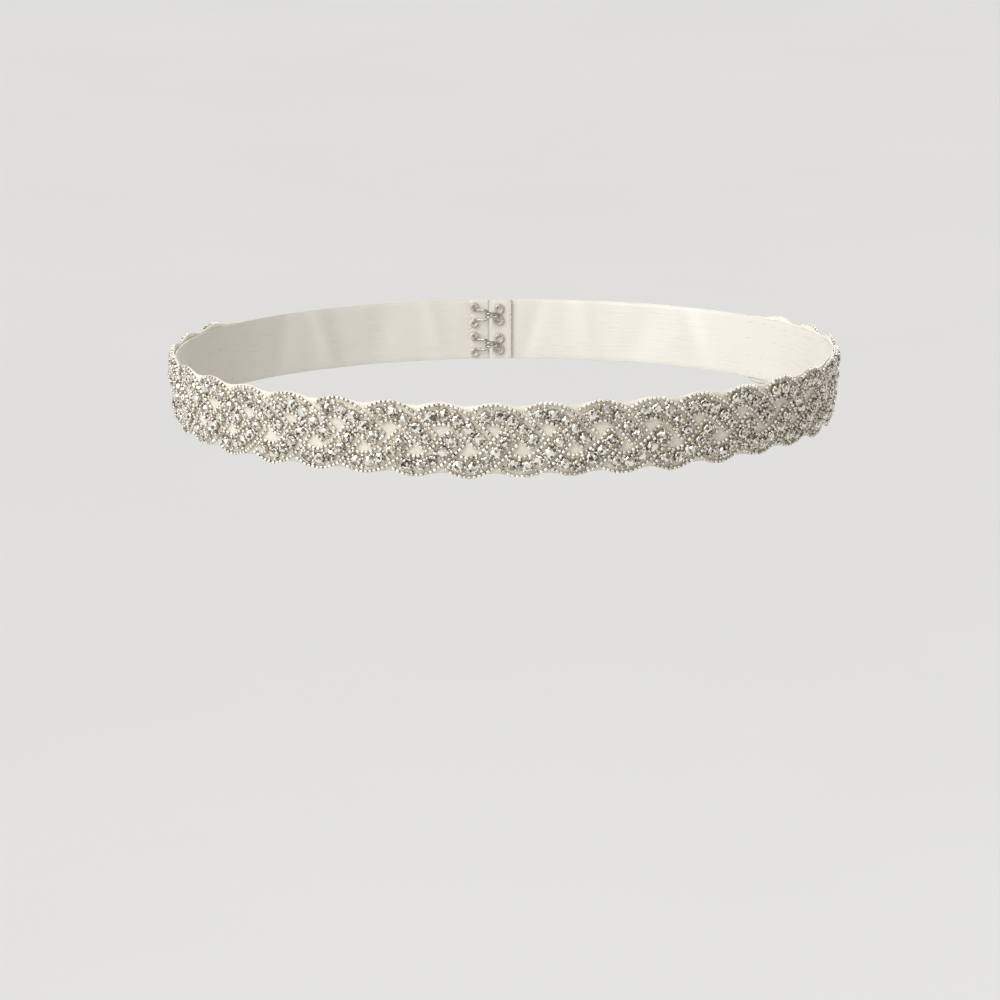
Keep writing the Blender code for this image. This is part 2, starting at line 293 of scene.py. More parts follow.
def sway(arch, distance):
    """How far a strand wanders sideways at a distance from its crest, each arch in its own way."""
    return SWAY * np.sin(distance / SWAY_LENGTH + SWAY_SHIFT * arch)


def stone_places(arch):
    """Where the stones stand along a strand, which has more of them where no other covers its start."""
    start, end = strand_run(arch, 0, STONE_CLEAR)
    return [place for place in STONE_PLACES if start - STONE_LEEWAY <= place <= end + STONE_LEEWAY]


def edge_wave(along, upper):
    """The scallops of an edge: 1 at a crest, over the plait's, and -1 in a dip."""
    return np.cos(2 * math.pi * (along - (CREST_PITCH / 2 if upper else 0)) / CREST_PITCH)


def ground_edge(along, upper):
    """How high the scalloped edge stands, down to nothing at the round ends."""
    past = np.maximum(0, abs(along) - (GROUND_HALF_LENGTH - END_ROUNDING)) / END_ROUNDING
    height = GROUND_MEAN_HEIGHT + GROUND_SCALLOP * edge_wave(along, upper)
    return height * np.sqrt(np.maximum(0, 1 - past**2))


# ---- nodes and materials


def plug(tree, node, inputs):
    """Gives a node's sockets constants, or what feeds them: a socket, or a node for its first output."""
    for socket, value in inputs.items():
        if isinstance(value, bpy.types.Node):
            value = value.outputs[0]
        if isinstance(value, bpy.types.NodeSocket):
            tree.links.new(value, node.inputs[socket])
        else:
            node.inputs[socket].default_value = value


def add_node(tree, kind, inputs=(), stops=(), **settings):
    """Adds a node to a tree, with its inputs, settings and a ramp's stops, each (position, linear colour)."""
    node = tree.nodes.new(kind)
    for name, value in settings.items():
        setattr(node, name, value)
    for _ in stops[2:]:
        node.color_ramp.elements.new(1)
    for index, (position, colour) in enumerate(stops):
        node.color_ramp.elements[index].position = position
        node.color_ramp.elements[index].color = (*colour, 1)
    plug(tree, node, dict(inputs))
    return node


def new_finish(name):
    """A new material and its node tree."""
    made = bpy.data.materials.new(name)
    made.use_nodes = True
    return made, made.node_tree


def shaded(made, **inputs):
    """Ends a material with its shader's constants, and with what feeds its other sockets."""
    shader = made.node_tree.nodes["Principled BSDF"]
    plug(made.node_tree, shader, {socket.replace("_", " "): value for socket, value in inputs.items()})
    return made


def shade(colour, share):
    return [part * share for part in colour]


def clouding(tree, colour, dark, scale, detail=3):
    """Soft clouds all through a piece: their noise, and their colour, from a dark share to all of it."""
    place = add_node(tree, "ShaderNodeTexCoord").outputs["Object"]
    clouds = add_node(tree, "ShaderNodeTexNoise", {"Vector": place, "Scale": scale, "Detail": detail})
    stops = [(0.3, shade(colour, dark)), (0.7, colour)]
    return clouds, add_node(tree, "ShaderNodeValToRGB", {"Fac": clouds}, stops)


def woven_satin(colour):
    """Ivory polyester satin, woven with long floats: a soft broad gloss, streaked along the ribbon."""
    made, tree = new_finish("ivory polyester satin, woven")
    uv = add_node(tree, "ShaderNodeUVMap", uv_map="cloth")  # in millimetres along and across
    # Floats are 0.1 mm wide, too fine to show, so the streaks are drawn about 0.5 mm wide and 9 mm long.
    streaks = add_node(tree, "ShaderNodeMapping", {"Vector": uv, "Scale": (0.11, 2.0, 1)})
    fine = add_node(tree, "ShaderNodeTexNoise", {"Vector": streaks, "Scale": 1, "Detail": 3})
    wide = add_node(tree, "ShaderNodeTexNoise", {"Vector": uv, "Scale": 0.04, "Detail": 2})
    both = add_node(tree, "ShaderNodeMath", {0: fine, 1: wide}, operation="ADD")
    tint = add_node(tree, "ShaderNodeValToRGB", {"Fac": both}, [(0.55, shade(colour, 0.90)), (1.0, colour)])
    relief = add_node(tree, "ShaderNodeBump", {"Height": fine, "Strength": 0.35, "Distance": 0.0002})
    sheen = {"Sheen_Weight": 0.12, "Sheen_Roughness": 0.4}
    return shaded(made, Base_Color=tint, Normal=relief, Roughness=0.3, Specular_IOR_Level=0.8, **sheen)


def ground_weave(colour):
    """Ivory plain-woven backing, stiffened: matt and warm, with a fine even weave that reads as grain."""
    made, tree = new_finish("ivory backing cloth, plain woven")
    uv = add_node(tree, "ShaderNodeUVMap", uv_map="cloth")
    # Threads are 0.3 mm apart, so the weave is drawn at 0.6 mm, which is as coarse as it needs to show.
    wave = {"Vector": uv, "Scale": 0.52, "Distortion": 0.8}
    warp, weft = (add_node(tree, "ShaderNodeTexWave", wave, bands_direction=way) for way in ("X", "Y"))
    crossed = {0: warp.outputs["Fac"], 1: weft.outputs["Fac"]}
    weave = add_node(tree, "ShaderNodeMath", crossed, operation="MULTIPLY")
    patches = add_node(tree, "ShaderNodeTexNoise", {"Vector": uv, "Scale": 0.15, "Detail": 3})
    stops = [(0.35, shade(colour, 0.88)), (0.65, colour)]
    tint = add_node(tree, "ShaderNodeValToRGB", {"Fac": patches}, stops)
    relief = add_node(tree, "ShaderNodeBump", {"Height": weave, "Strength": 0.5, "Distance": 0.0002})
    return shaded(made, Base_Color=tint, Normal=relief, Roughness=0.85, Sheen_Weight=0.2, Sheen_Roughness=0.6)


def spun_thread(colour):
    """Ivory spun polyester thread: matt, with a twist too fine to show, so it is drawn as fine grain."""
    made, tree = new_finish("ivory polyester thread, spun")
    return shaded(made, Base_Color=clouding(tree, colour, 0.75, 5000, 2)[1], Roughness=0.7, Sheen_Weight=0.3)


def silver_lined_glass(colour):
    """Clear glass seed beads, drawn, cut and silver lined: the silver inside shines through a glossy skin, with
    painted shade at the hole and ends.
    """
    made, tree = new_finish("silver-lined seed beads, drawn glass")
    tone = add_node(tree, "ShaderNodeAttribute", attribute_name="tone").outputs["Fac"]
    stops = [(0.0, shade(colour, 0.5)), (0.15, shade(colour, 0.85)), (0.4, colour), (1.0, linear("#fffdf8"))]
    skin = add_node(tree, "ShaderNodeValToRGB", {"Fac": tone}, stops)
    # The hole and the cut ends are painted dark: painted shade in the hole and where neighbouring beads meet.
    # How dark that painted shade is comes from the bead's tone too, many times over, so that it doesn't follow
    # the skin.
    end = add_node(tree, "ShaderNodeAttribute", attribute_name="end").outputs["Fac"]
    many = add_node(tree, "ShaderNodeMath", {0: tone, 1: 7.31}, operation="MULTIPLY")
    clear = add_node(tree, "ShaderNodeMath", {0: many}, operation="FRACT")
    glass = [(0.0, "#1f1a14"), (0.18, "#8d8070"), (0.3, "#d8d0c1"), (1.0, "#f3eee3")]
    ends = add_node(tree, "ShaderNodeValToRGB", {"Fac": clear}, [(at, linear(seen)) for at, seen in glass])
    body = add_node(tree, "ShaderNodeMix", {"Factor": end, 6: skin, 7: ends}, data_type="RGBA").outputs[2]
    coat = {"Coat_Weight": 1.0, "Coat_Roughness": 0.06}
    return shaded(made, Base_Color=body, Metallic=0.45, Roughness=0.24, **coat)


def foiled_crystal(colour):
    """Cut crystal with a foiled back: each facet's colour is a painted reflection, from white to nearly black,
    by chance for each facet of each stone.
    """
    made, tree = new_finish("foiled rhinestones, cut crystal")
    facet, stone = (add_node(tree, "ShaderNodeAttribute", attribute_name=name) for name in ("facet", "tone"))
    mixed = add_node(tree, "ShaderNodeCombineXYZ", {"X": facet.outputs["Fac"], "Y": stone.outputs["Fac"]})
    chance = add_node(tree, "ShaderNodeTexWhiteNoise", {"Vector": mixed}, noise_dimensions="3D")
    # Painted reflections: each facet takes a dark or bright colour in place of what it would mirror.
    painted_reflections = [(0.0, "#0e0c0a"), (0.12, "#4a4439"), (0.18, "#8f8472"), (0.36, "#b9ae9b")]
    stops = [(at, linear(seen)) for at, seen in painted_reflections] + [(0.50, colour), (1.0, linear("#ffffff"))]
    tint = add_node(tree, "ShaderNodeValToRGB", {"Fac": chance}, stops)
    tint.color_ramp.interpolation = "CONSTANT"
    coat = {"Coat_Weight": 1.0, "Coat_Roughness": 0.03}
    return shaded(made, Base_Color=tint, Metallic=0.7, Roughness=0.15, **coat)


def plated_metal(name, colour, roughness, grain):
    """Bright plate over pressed brass or steel: mirror-like, with faint clouding where it is handled."""
    made, tree = new_finish(name)
    clouds, tint = clouding(tree, colour, 0.7, grain)
    limits = {"Value": clouds, "To Min": roughness * 0.7, "To Max": roughness * 1.4}
    return shaded(made, Base_Color=tint, Metallic=1.0, Roughness=add_node(tree, "ShaderNodeMapRange", limits))


def matt_paper(colour):
    """Seamless studio paper, calendered: matt, with clouding that is barely there."""
    made, tree = new_finish("white studio paper, calendered")
    return shaded(made, Base_Color=clouding(tree, colour, 0.98, 1.5)[1], Roughness=0.9)


# ---- objects


def new_object(name, data):
    made = bpy.data.objects.new(name, data)
    bpy.context.scene.collection.objects.link(made)
    return made


def add_object(name, data, finish):
    data.materials.clear()
    data.materials.append(finish)
    return new_object(name, data)


def end_as_mesh(made, name):
    """The mesh of an object with its bevel or modifiers applied. The object itself goes."""
    data = bpy.data.meshes.new_from_object(made.evaluated_get(bpy.context.evaluated_depsgraph_get()))
    data.name = name
    bpy.data.objects.remove(made)
    return data


def mesh_from(made, name, smooth=False):
    """Ends a bmesh as a mesh."""
    data = bpy.data.meshes.new(name)
    made.normal_update()
    made.to_mesh(data)
    made.free()
    data.polygons.foreach_set("use_smooth", [smooth] * len(data.polygons))
    return data


def settle(piece, stands_for=None):
    """Rides a piece on the sash, and hides the imported node it stands for."""
    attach(piece, "root")
    if stands_for:
        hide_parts(stands_for)
    return piece


def close_up(made):
    """Merges a turned form's doubles and faces it outwards."""
    bmesh.ops.remove_doubles(made, verts=made.verts, dist=SAME_POINT)
    bmesh.ops.recalc_face_normals(made, faces=made.faces)


def turned_form(profile, steps):
    """Spins a profile of (radius, height) about Z: a closed ring of points, or a line from pole to pole."""
    made = bmesh.new()
    line = [made.verts.new((radius, 0, height)) for radius, height in profile]
    for pair in zip(line, line[1:] if profile[0][0] == 0 else line[1:] + line[:1]):
        made.edges.new(pair)
    turned = made.verts[:] + made.edges[:]
    bmesh.ops.spin(made, geom=turned, axis=(0, 0, 1), angle=math.tau, steps=steps, use_merge=True)
    close_up(made)
    return made


def cloth_strip(columns, rows, length, width):
    """A grid of cloth with its own UV map in millimetres, and each vertex's shares along and across it."""
    made = bmesh.new()
    made.loops.layers.uv.new("cloth")
    bmesh.ops.create_grid(made, x_segments=columns, y_segments=rows, size=0.5, calc_uvs=True)
    bmesh.ops.translate(made, verts=made.verts, vec=(0.5, 0.5, 0))
    uv = made.loops.layers.uv["cloth"]
    for face in made.faces:
        for loop in face.loops:
            place = loop.vert.co
            loop[uv].uv = (place.x * length / MM, place.y * width / MM)
    shares = np.array([vertex.co for vertex in made.verts])
    return made, shares[:, 0], shares[:, 1]


def sew_strip(name, made, points, finish, thickness, node):
    """Lays a strip of cloth at its points, and gives it its thickness, half to each side."""
    for vertex, point in zip(made.verts, points):
        vertex.co = point
    bmesh.ops.remove_doubles(made, verts=made.verts, dist=SAME_POINT)
    piece = add_object(name, mesh_from(made, name, True), finish)
    solidify = piece.modifiers.new("cloth thickness", "SOLIDIFY")
    solidify.thickness = thickness
    solidify.offset = 0
    solidify.use_even_offset = True
    return settle(piece, node)


# A small piece on the band. turn is from the along direction towards up, tilt is two small angles, size is a
# scale along the template's three axes, and tone is a chance from 0 to 1 that its finish may use.
Place = collections.namedtuple("Place", "along up out turn tilt size tone", defaults=((1, 1, 1), 0.5))


def scatter(name, template, places, finish):
    """One mesh of a template's copies, one at each Place."""
    along, up, out, turn, tilt, size, tone = (np.array(column, float) for column in zip(*places))
    forward, upward, facing = band_axes(along)
    turns = []
    for index, angle in enumerate(turn):
        cosine, sine = math.cos(angle), math.sin(angle)
        across = forward[index] * cosine + upward[index] * sine
        aside = upward[index] * cosine - forward[index] * sine
        base = Matrix((across, aside, facing[index])).transposed().to_quaternion()
        turns.append(base @ Euler((*tilt[index], 0)).to_quaternion())

    made = bmesh.new()
    for point in wrap(along, up, out):
        bmesh.ops.create_vert(made, co=point)
    data = mesh_from(made, name + "_places")
    for label, kind, field, values in (
        ("turn", "QUATERNION", "value", turns),
        ("size", "FLOAT_VECTOR", "vector", size),
        ("tone", "FLOAT", "value", tone),
    ):
        values = np.array(values, np.float32).ravel()
        data.attributes.new(label, kind, "POINT").data.foreach_set(field, values)
    holder = add_object(name + "_places", data, finish)
    source = add_object(name + "_template", template, finish)

    tree = bpy.data.node_groups.new(name, "GeometryNodeTree")
    for way in ("INPUT", "OUTPUT"):
        tree.interface.new_socket("Geometry", in_out=way, socket_type="NodeSocketGeometry")
    start = add_node(tree, "NodeGroupInput")
    shape = add_node(tree, "GeometryNodeObjectInfo", {"Object": source}).outputs["Geometry"]
    turned, sized = (
        add_node(tree, "GeometryNodeInputNamedAttribute", {"Name": label}, data_type=kind)
        for label, kind in (("turn", "QUATERNION"), ("size", "FLOAT_VECTOR"))
    )
    copying = {"Points": start, "Instance": shape, "Rotation": turned, "Scale": sized}
    copies = add_node(tree, "GeometryNodeInstanceOnPoints", copying)
    real = add_node(tree, "GeometryNodeRealizeInstances", {"Geometry": copies})
    add_node(tree, "NodeGroupOutput", {"Geometry": real})
    holder.modifiers.new("copies", "NODES").node_group = tree

    joined = end_as_mesh(holder, name)
    bpy.data.objects.remove(source)
    bpy.data.node_groups.remove(tree)
    if len(joined.polygons) != len(places) * len(template.polygons):
        raise RuntimeError(f"{name} has {len(joined.polygons)} faces, which isn't {len(places)} whole copies")
    return add_object(name, joined, finish)


def stray(rng, most, count=None):
    """Seeded unevenness of handwork, up to the most to either side."""
    return rng.uniform(-most, most, count)


# ---- the ribbon

RIBBON_HALF = [2.5, 5.5, 8.5, 10.8, 11.6, 11.9, 12.3, 12.5]  # in millimetres, closer by the selvedge
RIBBON_ROWS = [*(-row for row in reversed(RIBBON_HALF)), 0, *RIBBON_HALF]
RIBBON_COLUMNS = 640
FINE_COLUMNS = 0.08  # the share of them at each end, where they stand closer
FINE_LENGTH = 14 * MM
SELVEDGE_START = 11.7 * MM
SELVEDGE_RISE = 0.09 * MM
FOLD_STEPS = 12
HEM_FLAT = 1.5 * MM  # how far from the raw edge a turned end stops lying flat
HEM_CURL = [(0.7 * MM, 0.12 * MM), (0, 0.35 * MM)]  # how it lifts: distances from the raw edge, and rises

# Soft creases across the plain back of the ribbon: (along, lean, half width, depth) in millimetres
CREASES = [
    (268, 0.35, 4.5, -0.80),
    (291, -0.25, 6.5, 0.70),
    (316, 0.20, 5.0, -0.75),
    (339, -0.30, 3.5, 0.55),
    (349, 0.10, 2.2, -0.25),
    (-263, -0.20, 5.0, 0.70),
    (-284, 0.30, 4.5, -0.85),
    (-309, -0.15, 6.5, 0.65),
    (-333, 0.25, 4.0, -0.65),
    (-347, -0.15, 2.6, 0.26),
]
CREASES_FROM = 252 * MM
CREASES_FADE_IN = 6 * MM
CREASES_STOP = 3 * MM  # before the ribbon's ends
CREASES_FADE_OUT = 8 * MM

HEM_STITCHES = 12
HEM_STITCH_REACH = 11.3 * MM
TACKING_ROWS = [-10.2 * MM, -3.4 * MM, 3.4 * MM, 10.2 * MM]
TACKING_PITCH = 6.7 * MM
TACKS_EACH_SIDE = 36
INWARDS = math.pi  # the tilt of a stitch on the ribbon's inner face


def ribbon_path(thickness):
    """The ribbon's middle line from end to end, with both ends turned under: lengths, along and out."""
    fold = (HEM_THICK - thickness) / 2
    turn_from = BAND_END - fold - thickness / 2
    edge = BAND_END - HEM_LENGTH
    outer, inner = -thickness / 2, thickness / 2 - HEM_THICK
    half = [(along, outer) for along in np.linspace(0, turn_from, 400)]
    for turn in np.linspace(0, math.pi, FOLD_STEPS + 1)[1:]:
        half.append((turn_from + fold * math.sin(turn), outer - fold * (1 - math.cos(turn))))
    half += [(along, inner) for along in np.linspace(turn_from, edge + HEM_FLAT, 8)[1:]]
    half += [(edge + before, inner + rise) for before, rise in HEM_CURL]
    half = np.array(half)
    along, out = np.concatenate([half[::-1] * (-1, 1), half[1:]]).T
    return run_lengths(along, out), along, out


def crease(along, up):
    """How far the ribbon's plain back stands in or out, where worn cloth has eased."""
    depth = np.zeros_like(along)
    for centre, lean, width, rise in CREASES:
        depth += rise * MM * np.exp(-(((along - (centre * MM + lean * up)) / (width * MM)) ** 2))
    fade_in = np.clip((abs(along) - CREASES_FROM) / CREASES_FADE_IN, 0, 1)
    fade_out = np.clip((BAND_END - CREASES_STOP - abs(along)) / CREASES_FADE_OUT, 0, 1)
    return depth * fade_in * fade_out * np.cos(up / RIBBON_WIDTH * 2)


def make_ribbon(sizes, colours):
    lengths, path_along, path_out = ribbon_path(sizes.ribbon_thick)
    whole = float(lengths[-1])
    made, lengthwise, crosswise = cloth_strip(RIBBON_COLUMNS, len(RIBBON_ROWS) - 1, whole, RIBBON_WIDTH)
    columns = [0, FINE_COLUMNS, 1 - FINE_COLUMNS, 1]
    run = np.interp(lengthwise, columns, [0, FINE_LENGTH, whole - FINE_LENGTH, whole])
    up = np.interp(crosswise, np.linspace(0, 1, len(RIBBON_ROWS)), RIBBON_ROWS) * MM
    along, out = (np.interp(run, lengths, path) for path in (path_along, path_out))
    out = out + SELVEDGE_RISE * (abs(up) > SELVEDGE_START) + crease(along, up)
    satin = woven_satin(colours.satin)
    piece = sew_strip("ribbon_band", made, wrap(along, up, out), satin, sizes.ribbon_thick, "ribbon")
    return piece, whole


def stitch_mesh(sizes, half_width, height):
    """A stitch that arches over what it holds: half a ring of thread with closed ends, along X."""
    made = bmesh.new()
    bmesh.ops.create_circle(made, segments=6, radius=sizes.thread_radius, cap_ends=True)
    bmesh.ops.translate(made, verts=made.verts, vec=(half_width, 0, 0))
    turned = made.faces[:] + made.edges[:] + made.verts[:]
    bmesh.ops.spin(made, geom=turned, axis=(0, -1, 0), angle=math.pi, steps=7)
    bmesh.ops.scale(made, verts=made.verts, vec=(1, 1, height / half_width))
    close_up(made)
    return mesh_from(made, "stitch", True)


def make_ribbon_threads(sizes, finish):
    """Slip stitches along the turned ends, and the applique's tacking, on the ribbon's inner face."""
    rng = np.random.default_rng(sizes.seed)
    places = []
    for side in SIDES:
        along = side * (BAND_END - HEM_LENGTH + 0.1 * MM)
        for height in np.linspace(-HEM_STITCH_REACH, HEM_STITCH_REACH, HEM_STITCHES):
            up = height + stray(rng, 0.2 * MM)
            turn = math.pi * (0.5 - 0.5 * side) + side * 0.35
            places.append(Place(along, up, -HEM_THICK + 0.75 * MM, turn, (INWARDS, side * 0.45)))
    face = -sizes.ribbon_thick + 0.02 * MM
    for row in TACKING_ROWS:
        for step in range(-TACKS_EACH_SIDE, TACKS_EACH_SIDE + 1):
            along = step * TACKING_PITCH + stray(rng, 0.8 * MM)
            up = row + stray(rng, 0.35 * MM)
            places.append(Place(along, up, face, stray(rng, 0.35), (INWARDS, 0), (1.1, 1, 0.3)))
    template = stitch_mesh(sizes, 0.85 * MM, 0.75 * MM)
    return settle(scatter("ribbon_stitches", template, places, finish))


# ---- the applique's ground

GROUND_COLUMNS = 600
GROUND_ROWS = 20
GROUND_CROWDING = 0.04  # how far the columns draw together at the round ends
GROUND_UNEVEN = 0.06 * MM
PAD_REACH = 6.5 * MM
PAD_SPAN = 8 * MM  # to either side of a crossing
PAD_NEAR = 1.6 * CREST_PITCH  # no arch pads the cloth further from its crest


def ground_pad(along, up):
    """How far the ground cloth is padded out, under the strands that pass over others."""
    distances = np.linspace(UPPER_CROSSING - PAD_SPAN, UPPER_CROSSING + PAD_SPAN, 15)
    lift = over_lift(distances)
    pad = np.zeros_like(along)
    for arch in ARCHES:
        over_along, over_up = arch_place(arch, distances, 0)
        near = abs(along - arch * CREST_PITCH / 2) < PAD_NEAR
        apart = np.hypot(along[near, None] - over_along, up[near, None] - over_up) / PAD_REACH
        pad[near] = np.maximum(pad[near], (lift * np.clip(1 - apart**2, 0, 1) ** 2).max(axis=1))
    return pad


def trimmed_edge(along, upper):
    """How high the visible cloth's edge stands: it is cut back under the beads at each crest."""
    crest = 0.5 + 0.5 * edge_wave(along, upper)
    return ground_edge(along, upper) * (1 - CLOSE_TRIM / GROUND_MEAN_HEIGHT * crest)


def make_ground(colours):
    """The ground cloth: a stiffened strip with scalloped edges and round ends."""
    length = 2 * GROUND_HALF_LENGTH
    width = 2 * (GROUND_MEAN_HEIGHT + GROUND_SCALLOP - CLOSE_TRIM)
    made, lengthwise, crosswise = cloth_strip(GROUND_COLUMNS, GROUND_ROWS, length, width)
    middle = lengthwise - 0.5
    share = GROUND_CROWDING * np.sin(middle * math.pi) + (1 - GROUND_CROWDING) * 2 * middle
    along = GROUND_HALF_LENGTH * share
    low, high = (trimmed_edge(along, upper) for upper in (False, True))
    up = (low + high) * crosswise - low
    # Stiffened cloth doesn't lie quite flat: it has faint waves 6 or 7 mm long.
    waves = np.sin(along / MM * 0.9 + 1.3) * np.sin(up / MM * 1.1 + along / MM * 0.13)
    out = (GROUND_FACE + GROUND_BACK) / 2 + ground_pad(along, up) + GROUND_UNEVEN * waves
    finish = ground_weave(colours.ground)
    thickness = GROUND_FACE - GROUND_BACK
    piece = sew_strip("applique_ground", made, wrap(along, up, out), finish, thickness, "applique")
    mean = 2 * GROUND_MEAN_HEIGHT - CLOSE_TRIM
    area = mean * (length - 2 * END_ROUNDING) + math.pi / 4 * 2 * END_ROUNDING * mean
    return piece, (width, length), area


# ---- beads

ROW_CLEAR = 5.35 * MM  # a row stops this far from the middle of the strand that passes over it
FLANGE_RADIUS = 2.3 * MM  # of a stone's setting
EDGE_INSET = 1.05 * MM
BEAD_SIDES = 8
BEAD_PROFILE = [(0.40, 0), (0.62, -1), (1.0, -0.5), (1.0, 0.5), (0.62, 1)]  # shares of radius and half length
BEAD_SEAT = 0.97  # a bead sits this share of its radius over the cloth
LOOK_AHEAD = 0.2 * MM  # how far along a row a bead's own direction is taken

# Small beads round the stones: (millimetres from a strand's middle, how often a nook has one)
FILLER_NOOKS = [(-2.5, 0.95), (-1.2, 0.85), (0.1, 0.6), (1.35, 0.85), (2.6, 0.95)]
FILLER_CLEAR = ROW_CLEAR - 0.9 * MM  # they come nearer than a row to the strand that passes over
FILLER_MARGINS = (0.3 * MM, 0.2 * MM)  # and keep this far from the start and end of their run

# Each round end is filled this far in, where the strands leave it bare
END_FILL = 15 * MM
FILL_STEP = 0.35 * MM
FILL_OVERLAP = 0.12 * MM
END_ARCHES = 5
END_ROW_START = 1.5 * MM  # past the last crest, where the strands' own outer rows stop


def bead_mesh(sizes):
    """A seed bead threaded along X: a round-shouldered ring with its hole, 40 faces."""
    radius, half = sizes.bead_radius, sizes.bead_length / 2
    made = turned_form([(out * radius, along * half) for out, along in BEAD_PROFILE], BEAD_SIDES)
    bmesh.ops.rotate(made, verts=made.verts, matrix=Matrix.Rotation(math.pi / 2, 3, "Y"))
    # Marks the hole and the cut ends, which the glass finish paints with shade.
    ends = made.verts.layers.float.new("end")
    for vertex in made.verts:
        vertex[ends] = float(vertex.co.yz.length < 0.8 * radius)
    return mesh_from(made, "bead", True)


def bead_row(rng, sizes, arch, across):
    """The beads along one line of a strand."""
    run = np.linspace(*strand_run(arch, across, ROW_CLEAR), 200)
    lengths = run_lengths(*arch_place(arch, run, across))
    count = max(1, round(lengths[-1] / sizes.bead_pitch))
    step = lengths[-1] / count
    marks = (np.arange(count) + 0.5 + stray(rng, 0.06, count)) * step
    distances = np.interp(marks, lengths, run)
    along, up = arch_place(arch, distances, across + sway(arch, distances) + stray(rng, 0.15 * MM, count))
    ahead = arch_place(arch, distances + LOOK_AHEAD, across)
    behind = arch_place(arch, distances - LOOK_AHEAD, across)
    turn = np.arctan2(ahead[1] - behind[1], ahead[0] - behind[0]) + stray(rng, 0.18, count)
    size = rng.uniform(0.9, 1.08, count)
    out = GROUND_FACE + over_lift(distances) + sizes.bead_radius * size * BEAD_SEAT
    stretch = step / sizes.bead_pitch
    places = []
    for *place, own in zip(along, up, out, turn, size):
        tilt = (stray(rng, 1), stray(rng, 0.12))  # a bead may be turned any way about its thread
        places.append(Place(*place, tilt, (own * stretch, own, own), rng.random()))
    return places


def end_row(rng, sizes, side):
    """The beads round one of the applique's round ends, just inside its edge."""
    reach = GROUND_HALF_LENGTH - EDGE_INSET
    lines = []
    for upper in (False, True):
        along = np.linspace(0, 1, 400) ** 0.5 * reach
        along = along[along > (LAST_ARCH - upper) * CREST_PITCH / 2 + END_ROW_START]
        # The edge is drawn in evenly: the round end is the ground's own outline, scaled towards its middle.
        height = np.maximum(0, ground_edge(along * (GROUND_HALF_LENGTH / reach), upper) - EDGE_INSET)
        lines.append(np.stack([along, height if upper else -height]))
    path = np.concatenate([lines[0], lines[1][:, ::-1]], axis=1)
    lengths = run_lengths(*path)
    count = round(lengths[-1] / sizes.bead_pitch)
    marks = (np.arange(count) + 0.5) * lengths[-1] / count
    along, up = (np.interp(marks, lengths, axis) for axis in path)
    next_along, next_up = (np.interp(marks + 0.3 * MM, lengths, axis) for axis in path)
    turn = np.arctan2(next_up - up, side * (next_along - along))
    places = []
    for place in zip(side * along, up, turn):
        size = rng.uniform(0.93, 1.06)
        out = GROUND_FACE + sizes.bead_radius * size * BEAD_SEAT
        places.append(Place(*place[:2], out, place[2], (0, 0), (size, size, size), rng.random()))
    return places


def loose_bead(rng, sizes, place, lift, size, lean, length=1):
    """A small bead laid any way at an (along, up), over the cloth or over a lifted strand."""
    out = GROUND_FACE + lift + sizes.bead_radius * size
    tilt = stray(rng, lean, 2)
    return Place(*place, out, rng.uniform(0, math.pi), tilt, (length * size, size, size), rng.random())


def filler_beads(rng, sizes, arch):
    """Small beads in the nooks round the stones."""
    start, end = strand_run(arch, 0, FILLER_CLEAR)
    stones = stone_places(arch)
    places = []
    for nook in [stones[0] - STONE_PITCH / 2, *[stone + STONE_PITCH / 2 for stone in stones]]:
        for offset, chance in FILLER_NOOKS:
            here = nook + stray(rng, 0.3 * MM)
            if rng.random() > chance or not start + FILLER_MARGINS[0] < here < end - FILLER_MARGINS[1]:
                continue
            place = arch_place(arch, here, offset * MM + sway(arch, here) + stray(rng, 0.2 * MM))
            places.append(loose_bead(rng, sizes, place, over_lift(here), rng.uniform(0.72, 1.0), 0.6))
    return places


def end_fill(sizes, side):
    """Where stones and beads go over what the strands leave bare of a round end: two lists of (along, up)."""
    rng = np.random.default_rng(0)
    beads = end_row(rng, sizes, side)
    taken = []
    for number in range(LAST_ARCH + 1 - END_ARCHES, LAST_ARCH + 1):
        arch = side * number
        for across in (sizes.outer_row, -sizes.inner_row):
            beads += bead_row(rng, sizes, arch, across)
        for distance in stone_places(arch):
            taken.append((*arch_place(arch, distance, sway(arch, distance)), FLANGE_RADIUS))
    taken += [(bead.along, bead.up, sizes.bead_radius) for bead in beads]
    found = []
    for room in (FLANGE_RADIUS, sizes.bead_radius):
        places = []
        for depth in np.arange(0, END_FILL, FILL_STEP):
            along = GROUND_HALF_LENGTH - EDGE_INSET - depth
            for up in np.arange(-GROUND_MEAN_HEIGHT, GROUND_MEAN_HEIGHT, FILL_STEP):
                if abs(up) > ground_edge(along, up > 0) - EDGE_INSET:
                    continue
                others = np.array(taken).T
                apart = np.hypot(others[0] - side * along, others[1] - up) - others[2]
                if apart.min() > room - FILL_OVERLAP:
                    places.append((side * along, up))
                    taken.append((side * along, up, room))
        found.append(places)
    return found


def end_beads(rng, sizes, side):
    """Small beads over what the strands leave bare of a round end."""
    spots = end_fill(sizes, side)[1]
    return [loose_bead(rng, sizes, spot, 0, rng.uniform(0.85, 1.0), 0.3, 0.85) for spot in spots]


def make_beads(sizes, colours):
    rng = np.random.default_rng(sizes.seed + 1)
    finish = silver_lined_glass(colours.bead)
    edge = [bead_row(rng, sizes, arch, sizes.outer_row) for arch in ARCHES]
    edge += [end_row(rng, sizes, side) for side in SIDES]
    strand = [bead_row(rng, sizes, arch, -sizes.inner_row) for arch in ARCHES]
    filler = [filler_beads(rng, sizes, arch) for arch in ARCHES]
    filler += [end_beads(rng, sizes, side) for side in SIDES]
    for name, rows in (("edge_beads", edge), ("strand_beads", strand), ("filler_beads", filler)):
        settle(scatter(name, bead_mesh(sizes), sum(rows, []), finish), "applique")


# ---- rhinestones

